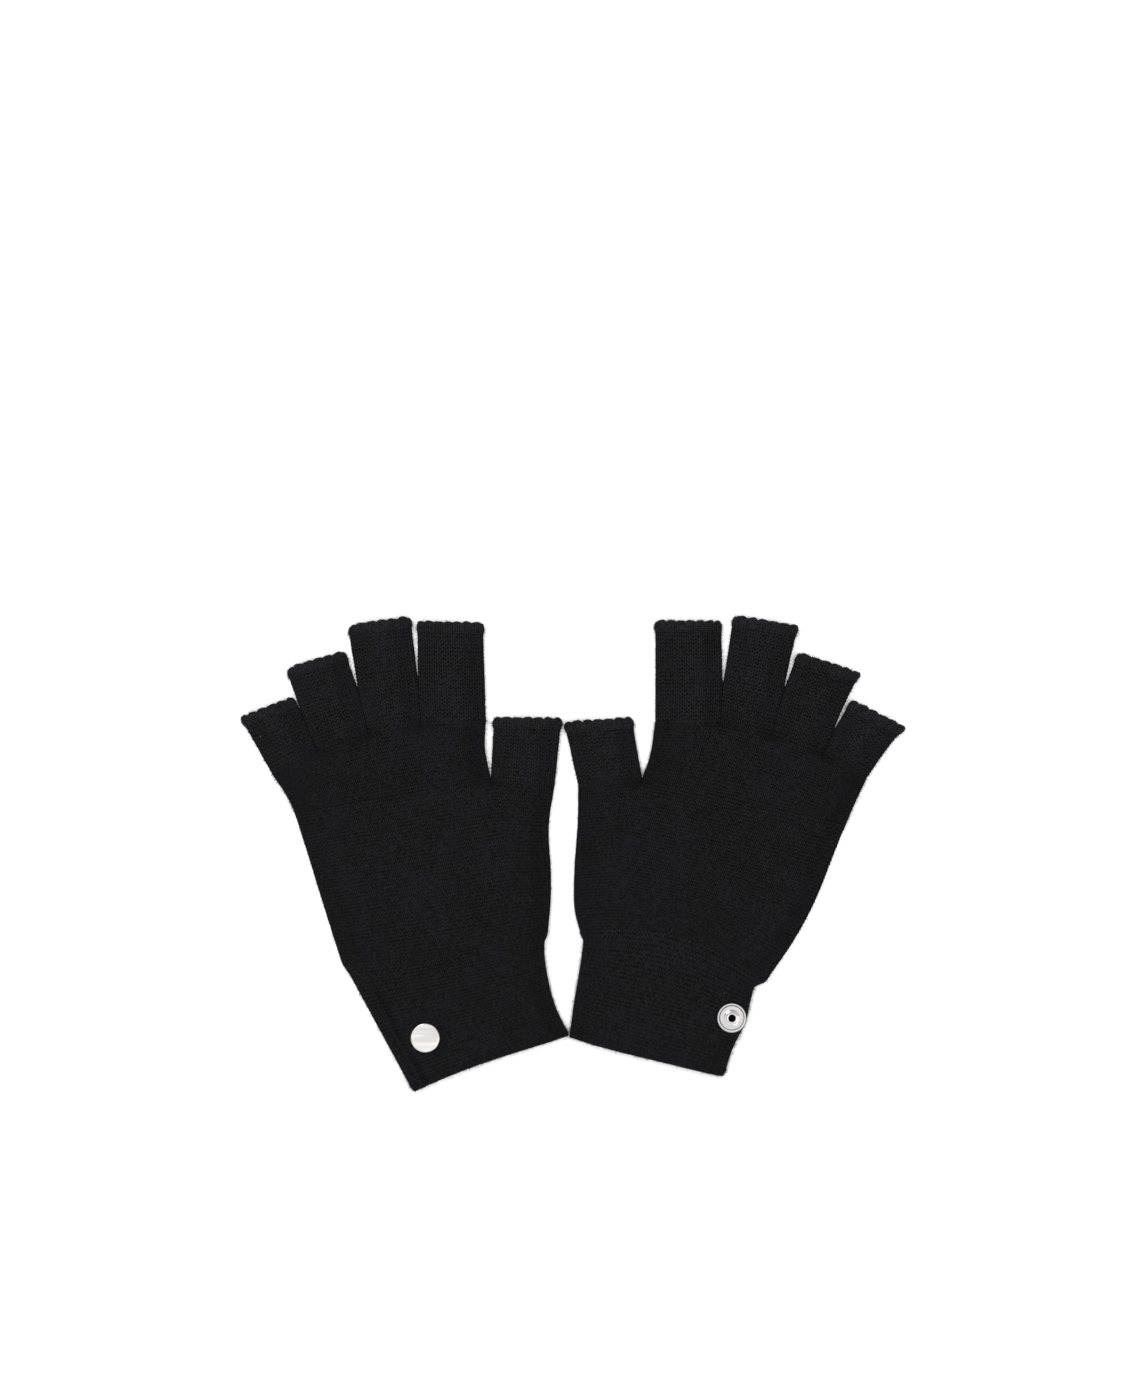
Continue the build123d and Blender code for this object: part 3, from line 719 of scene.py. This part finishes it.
def steps(count):
    """How far along a piece each mesh row lies, for this many courses."""
    return np.linspace(0, 1, count * ROWS + 1)


def lined(make_row, count):
    """Rows of the face of a piece, and the few rows that are enough for its lining."""
    return [make_row(t) for t in steps(count)], [make_row(t, LAYER) for t in np.linspace(0, 1, LINING_ROWS)]


def bowed(loop, start, end, bow, peak=0.5):
    """Bends a straight row into a bow, highest at peak of the way across."""
    share = np.clip((loop[:, :2] - start) @ (end - start) / ((end - start) @ (end - start)), 0, 1)
    power = np.log(0.5) / np.log(peak)
    way = unit(vec((start[1] - end[1], end[0] - start[0])))
    loop[:, :2] += np.outer(bow * np.sin(pi * share ** power), way)
    return loop


def palm_piece(glove, ends, outer):
    x, y = glove.wrist_half
    thumb = through([(x, y), *glove.thumb_side, ends["thumb"][0]])
    foot = vec((-x, -y)) + 2 * vec((x, y)) * GUSSET_SHARE
    gusset = through([foot, (foot + ends["thumb"][1]) / 2 + vec((2.0, 0)), ends["thumb"][1]])
    dimple = FORK_RUN / length(gusset)

    def palm_row(t, inset=0.0):
        knots = [along(outer, t * FORK_SHARE), along(gusset, t), along(thumb, t)]
        loop = row(knots, [MAIN, THUMB[3]], smooth((t - 1 + dimple) / dimple), inset=inset)
        loop = creased(loop, knots[0], *PALM_CREASE, glove.palm_crease * smooth(1.6 - 2.6 * t))
        return settled(bowed(loop, knots[0], knots[2], glove.wrist_bow * (1 - t) ** 2), inset)

    count = courses(gusset)
    piece = tube_mesh(glove, f"{glove.name}_palm_knit", *lined(palm_row, count), jersey,
                      STITCH_DEPTH, PALM_FIBRES, reach=1.1, seams=(SEAM, 0))
    finish_piece(piece, PLAIN, f"{glove.name}_cuff", [f"{glove.name}_hand"],
                 hinge_line(f"{glove.name}_cuff_fold", CUFF_BEND, -1))
    return count


def knuckle_piece(glove, ends, outer, first_course):
    index = through([ends["thumb"][1], glove.index_side, ends["index"][0]])
    wales = [STALLS[name][3] for name in FINGERS]
    forks = [ends["little"][1], *[ends[name][0] for name in FINGERS]]
    low = [along(outer, FORK_SHARE), ends["thumb"][1]]
    shares = np.concatenate([[0], np.cumsum(wales)]) / MAIN
    middle = np.array([(low[0] + low[1]) / 2, forks[2]])
    dimple = FORK_RUN / length(middle)

    def knuckle_row(t, inset=0.0):
        knots = [along(outer, FORK_SHARE + (1 - FORK_SHARE) * t)]
        for share, fork in zip(shares[1:-1], forks[1:-1]):
            foot = low[0] + (low[1] - low[0]) * share
            knots.append(foot + (fork - foot) * t)
        knots.append(along(index, t))
        return settled(row(knots, wales, smooth((t - 1 + dimple) / dimple), inset=inset), inset)

    piece = tube_mesh(glove, f"{glove.name}_knuckle_knit", *lined(knuckle_row, courses(middle)), jersey,
                      STITCH_DEPTH, KNUCKLE_FIBRES, reach=1.1, first=first_course)
    finish_piece(piece, PLAIN, f"{glove.name}_hand")


for glove in GLOVES:
    ends = roots(glove)
    x, y = glove.wrist_half
    outer = through([(-x, -y), *reversed(glove.outer_side), ends["little"][1]])
    knuckle_piece(glove, ends, outer, palm_piece(glove, ends, outer))

# %% [markdown]
# ## The stalls and their edges
# Stitches are picked up round each opening and knitted on as a narrow tube. The last course is cast off and
# oversewn, which makes a band a little thicker than the knit, with one small scallop to a wale. The band is a
# piece of its own, rounded over the lip and a little way down inside.

# %% Stalls
STALL_FIBRES, EDGE_FIBRES = 1300, 650
EDGE_DEPTH = 0.55        # depth of the relief in the band
PRESS = 0.4              # neighbouring stalls press into each other's loops this deep
TUCK = 0.03              # share of a stall that is tucked inside the hand at its root
TUCKED_IN = 0.35         # and this much smaller there, so that it lies inside
BAND_ROWS, LIP_ROWS = 14, 8
LIP = 0.9                # how far the band's lip rolls out past its last straight row
LIP_RADIUS = 0.55        # and how far inwards it turns, as a radius
FLARE = 0.5              # how far the band stands out past each side of its stall
FLARE_FROM, FLARE_RUN = 6.2, 4.4      # the flare starts this far below the tip and takes this long
FLARE_BESIDE = 0.4       # share of the flare on a side that has a neighbour, so that two can fold together
NEAR_ROUND = 2.0         # radius of the band's corner on the thumb's side
CORNER_DEPTH = 2.9       # no corner is pulled back further than this


def stall_sides(glove, name):
    """Outer and thumb side of a stall: root, tip, how much it spreads towards its neighbour, and how far."""
    near, near_tip, far_tip, far = stall_corners(glove, name)
    order = list(STALLS)
    spreads = []
    for root, tip, shift, corner in ((far, far_tip, 1, 0), (near, near_tip, -1, 3)):
        other = order.index(name) + shift if name in order else -1
        spread_way, touch = 0.0, 0.0
        if 0 <= other < len(order):
            touch = glove.touches[min(other, other - shift)]
            beside = stall_corners(glove, order[other])
            way = unit(beside[1 if corner == 0 else 2] - beside[corner])
            own = unit(tip - root)
            spread_way = abs(own[0] * way[1] - own[1] * way[0]) / 2
        spreads.append((root, tip, spread_way, touch, glove.splay.get(name, 0.0) if corner == 0 else 0.0))
    return spreads


def side_point(side, other, t):
    """Point at share t of a side. At first it leans on its neighbour, then it draws back, then it flares."""
    root, tip, spread_way, touch, splay = side
    point = root + (tip - root) * t
    away = unit(point - (other[0] + (other[1] - other[0]) * t))
    size = np.linalg.norm(tip - root)
    run = max(t, 0) * size
    bulge = FLARE * smooth((run - size + FLARE_FROM) / FLARE_RUN)
    if spread_way:
        lean = spread_way * min(run, touch * (size - run) / (size - touch))
        bulge = bulge * FLARE_BESIDE + (lean + PRESS * smooth(1.5 - run / touch))
    return point + away * (bulge + splay * (run / size) ** 3)


def rounded_corners(loop, out, far, near, far_radius, near_radius, amount):
    """Pulls the corners of an open end back into quarter rounds."""
    across_way = unit(near - far)
    for corner, way, radius in ((far, across_way, far_radius), (near, -across_way, near_radius)):
        inside = np.clip(1 - (loop[:, :2] - corner) @ way / radius, 0, 1)
        depth = amount * min(0.85 * radius, CORNER_DEPTH)
        loop[:, :2] -= np.outer(depth * (1 - np.sqrt(1 - inside ** 2)), out)
    return loop


def build_stall(glove, name):
    far, near = stall_sides(glove, name)
    wales = THUMB[3] if name == "thumb" else STALLS[name][3]
    ends = [1 - EDGING / np.linalg.norm(side[1] - side[0]) for side in (far, near)]

    def stall_row(t, inset=0.0):
        t = t * (1 + TUCK) - TUCK
        inset += TUCKED_IN * smooth(-t / TUCK)
        knots = [side_point(far, near, t * ends[0]), side_point(near, far, t * ends[1])]
        return settled(row(knots, [wales], inset=inset), inset)

    count = courses(np.array([(far[0] + near[0]) / 2, (far[1] + near[1]) / 2])) - round(EDGING / COURSE)
    piece = tube_mesh(glove, f"{glove.name}_{name}_stall_knit", *lined(stall_row, count), jersey,
                      STITCH_DEPTH, STALL_FIBRES, reach=0.9)
    finish_piece(piece, STALL, f"{glove.name}_{name}", [f"{glove.name}_{name}_stall"],
                 hinge_line(f"{glove.name}_{name}_fold", STALL_BEND, 1))
    build_edging(glove, name, far, near, ends, wales)


def build_edging(glove, name, far, near, ends, wales):
    """The band flares a little, runs out to its scalloped lip, rolls over it and comes back inside."""
    rng = np.random.default_rng(glove.seed + wales + len(name))
    bump = rng.uniform(0.5, 1.2, wales + 1)
    out = unit((far[1] + near[1]) / 2 - (far[0] + near[0]) / 2)

    def band_row(t, inset=0.0, roll=0.0):
        a = side_point(far, near, ends[0] + (1 - ends[0]) * t) - out * LIP * t
        b = side_point(near, far, ends[1] + (1 - ends[1]) * t) - out * LIP * t
        loop = row([a, b], [wales], half=HALF + PROUD * smooth(2 * t), inset=inset)
        columns = np.arange(len(loop)) / COLUMNS
        from_fold = np.minimum(columns % wales, wales - columns % wales)
        rise = bump[(columns / 2).astype(int)] * (scallop(columns) - 0.3) * smooth(from_fold / 1.5)
        loop[:, :2] += np.outer(rise * smooth(2 * t - 1) + roll * LIP, out)
        return settled(rounded_corners(loop, out, a, b, glove.rounding[name], NEAR_ROUND, t), inset)

    rows = [band_row(t) for t in np.linspace(0, 1, BAND_ROWS)]
    for angle in np.linspace(0, pi, LIP_ROWS + 1)[1:]:
        rows.append(band_row(1, LIP_RADIUS * (1 - cos(angle)), sin(angle)))
    lining = [band_row(t, LAYER) for t in (0.0, 0.6)]
    piece = tube_mesh(glove, f"{glove.name}_{name}_edging_yarn", rows, lining, oversewn,
                      EDGE_DEPTH, EDGE_FIBRES, reach=1.0)
    finish_piece(piece, EDGE, f"{glove.name}_{name}", [f"{glove.name}_{name}_edging"])


for glove in GLOVES:
    for name in ("thumb", *STALLS):
        build_stall(glove, name)

# %% [markdown]
# ## The cuffs
# One-by-one rib pulls in across and stands up in narrow ridges, which is what keeps a cuff on a wrist. The
# ridges here are real, because their shadows are what the eye reads as rib. The hem is the edge that the
# knitting started from, a narrow welt that turns over its own lip.

# %% Cuffs
RIBS = 50
RIB_FIBRES, WELT_FIBRES = 2800, 1500
WELT_DEPTH, WELT_ROWS = 0.45, 10
DRAW_IN = 0.11           # share of the cuff over which it narrows from the hand
SNAP_FLAT, SNAP_SLOPE = 6.0, 5.0      # radius held level by the snap, and the slope round it
HEM_LIP = 0.8
HEM_CORNERS = (2.2, 1.0)              # radius of the hem's outer and inner corner
CUFF_CREASES = ((7.5, 1.3, 1.0), (3.6, 0.8, 0.5))     # distance from the edge, width, share of the depth


def lifted(loop, spot, inset):
    """Raises both faces apart round the snap, which holds the cuff at its own height."""
    near = smooth((SNAP_FLAT + SNAP_SLOPE - np.linalg.norm(loop[:, :2] - vec(spot), axis=1)) / SNAP_SLOPE)
    thick = np.abs(loop[:, 2])
    grown = thick + (SNAP_HALF - inset - thick) * near * smooth(thick / (FOLD_HALF - inset))
    loop[:, 2] = np.sign(loop[:, 2]) * np.maximum(grown, thick)
    return loop


def build_cuff(glove):
    x, y = glove.wrist_half
    ends = vec((x, y)), vec((-x, -y))
    seam = unit(ends[1] - ends[0])
    tops = ends[0] + seam * glove.cuff_insets[0], ends[1] - seam * glove.cuff_insets[1]
    thumb = through([tops[0], *glove.cuff_thumb_side])
    outer = through([tops[1], *glove.cuff_outer_side])
    middle = np.array([(thumb[0] + outer[0]) / 2, (thumb[-1] + outer[-1]) / 2])
    down = unit(middle[1] - middle[0])
    welt_at = 1 - WELT / length(middle)

    def cuff_row(t, inset=0.0, roll=0.0):
        wide = 1 - smooth(t / DRAW_IN)
        a, b = along(outer, t) + (ends[1] - tops[1]) * wide, along(thumb, t) + (ends[0] - tops[0]) * wide
        loop = row([a, b], [RIBS], inset=inset)
        for place, width, share in CUFF_CREASES:
            loop = creased(loop, a, place, width, share * glove.cuff_crease * smooth(3 * t))
        loop = lifted(loop, glove.snap_spot, inset)
        loop = bowed(loop, a, b, glove.wrist_bow * (1 - t) ** 3)
        loop = bowed(loop, a, b, glove.hem_bow * t ** 3, glove.hem_peak)
        loop[:, :2] += down * roll * HEM_LIP
        in_welt = smooth((t - welt_at) / (1 - welt_at))
        return settled(rounded_corners(loop, down, a, b, *HEM_CORNERS, in_welt), inset)

    count = round(length(middle) * welt_at / COURSE)
    rows, lining = lined(lambda t, inset=0.0: cuff_row(t * welt_at, inset), count)
    piece = tube_mesh(glove, f"{glove.name}_cuff_rib", rows, lining, rib, RIB_DEPTH, RIB_FIBRES,
                      reach=1.1, seams=(SEAM, 0))
    finish_piece(piece, RIB, f"{glove.name}_cuff", [f"{glove.name}_cuff"],
                 hinge_line(f"{glove.name}_cuff_fold", CUFF_BEND, -1))

    last = 1 - HEM_LIP / 2 / length(middle)
    rows = [cuff_row(t) for t in np.linspace(welt_at, last, WELT_ROWS)]
    for angle in np.linspace(0, pi, LIP_ROWS + 1)[1:]:
        rows.append(cuff_row(last, LIP_RADIUS * (1 - cos(angle)), sin(angle)))
    lining = [cuff_row(t, LAYER) for t in (welt_at, (welt_at + last) / 2)]
    piece = tube_mesh(glove, f"{glove.name}_cuff_welt_knit", rows, lining, rib, WELT_DEPTH, WELT_FIBRES,
                      reach=1.0)
    finish_piece(piece, RIB, f"{glove.name}_cuff", [f"{glove.name}_cuff_welt"])


for glove in GLOVES:
    build_cuff(glove)

# %% [markdown]
# ## Floor, light and camera
# A black thing on white is the hardest exposure there is: the floor has to stay clean and the knit has to
# keep its stitches. A bright even sky does most of it, and one broad lamp from the upper left leaves just
# enough slant for the stitches to show.

# %% Studio
FLOOR_HALF = 3.0                 # half the width of the table, in metres
FLOOR_GLOW = 0.42                # the table is lit a little from below, as for goods on white
SKY_LOW, SKY_HIGH = 0.02, 1.04   # brightness of the soft tent, low down and overhead
SKY_TILT = -0.5                  # change from overhead to the side where the fingers point, which is darker
SKY_EDGES = (0.32, 0.68)         # heights between which the tent gets bright, as sines of the angle up
LAMPS = (("key", (-0.8, 1.2, 1.3), 15.0, 0.8), ("fill", (1.2, -0.4, 1.4), 4.0, 1.2))   # place, watts, size


def studio():
    floor_mesh = bpy.data.meshes.new("floor")
    s = FLOOR_HALF
    floor_mesh.from_pydata([(-s, -s, 0), (s, -s, 0), (s, s, 0), (-s, s, 0)], [], [(0, 1, 2, 3)])
    floor = bpy.data.objects.new("floor", floor_mesh)
    bpy.context.collection.objects.link(floor)
    material, _, shader = new_material("pale_floor")
    shader.inputs["Base Color"].default_value = (0.9, 0.9, 0.9, 1)
    shader.inputs["Roughness"].default_value = 0.9
    shader.inputs["Emission Color"].default_value = (1, 1, 1, 1)
    shader.inputs["Emission Strength"].default_value = FLOOR_GLOW
    floor_mesh.materials.append(material)

    world = bpy.data.worlds.new("sky")
    bpy.context.scene.world = world
    world.use_nodes = True
    tree = world.node_tree
    background = tree.nodes["Background"]
    background.inputs[0].default_value = (1, 1, 1, 1)
    way = tree.nodes.new("ShaderNodeTexCoord")
    height = tree.nodes.new("ShaderNodeSeparateXYZ")
    sky = tree.nodes.new("ShaderNodeMapRange")
    sky.inputs["From Min"].default_value, sky.inputs["From Max"].default_value = SKY_EDGES
    sky.inputs["To Min"].default_value, sky.inputs["To Max"].default_value = SKY_LOW, SKY_HIGH
    tilt = maths(tree, "MULTIPLY", height.outputs[1], SKY_TILT)
    link(tree, (way.outputs["Generated"], height.inputs[0]), (height.outputs[2], sky.inputs[0]),
         (maths(tree, "MAXIMUM", maths(tree, "ADD", sky.outputs[0], tilt), 0.05), background.inputs[1]))
    for name, place, power, size in LAMPS:
        lamp = bpy.data.lights.new(name, "AREA")
        lamp.energy, lamp.size = power, size
        holder = bpy.data.objects.new(name, lamp)
        holder.location = place
        holder.rotation_euler = (-Vector(place)).to_track_quat("-Z", "Y").to_euler()
        bpy.context.collection.objects.link(holder)
    bpy.context.scene.view_settings.view_transform = "Standard"


studio()
print("lamps", [name for name, *_ in LAMPS], "table", 2 * FLOOR_HALF, "m wide")

# %% Camera
VIEW_HEIGHT = 0.592          # how much of the table is in view, top to bottom, in metres
AIM = (0.0006, 0.0711)       # the place on the table that it looks straight down on
DISTANCE = 2.0               # how far above the table it hangs


def camera():
    lens = bpy.data.cameras.new("camera")
    lens.sensor_width = 36.0
    lens.lens = lens.sensor_width * DISTANCE / VIEW_HEIGHT
    holder = bpy.data.objects.new("camera", lens)
    holder.location = (*AIM, DISTANCE)
    bpy.context.collection.objects.link(holder)
    bpy.context.scene.camera = holder
    print("camera", DISTANCE, "m up, with a", round(lens.lens), "mm lens")


camera()
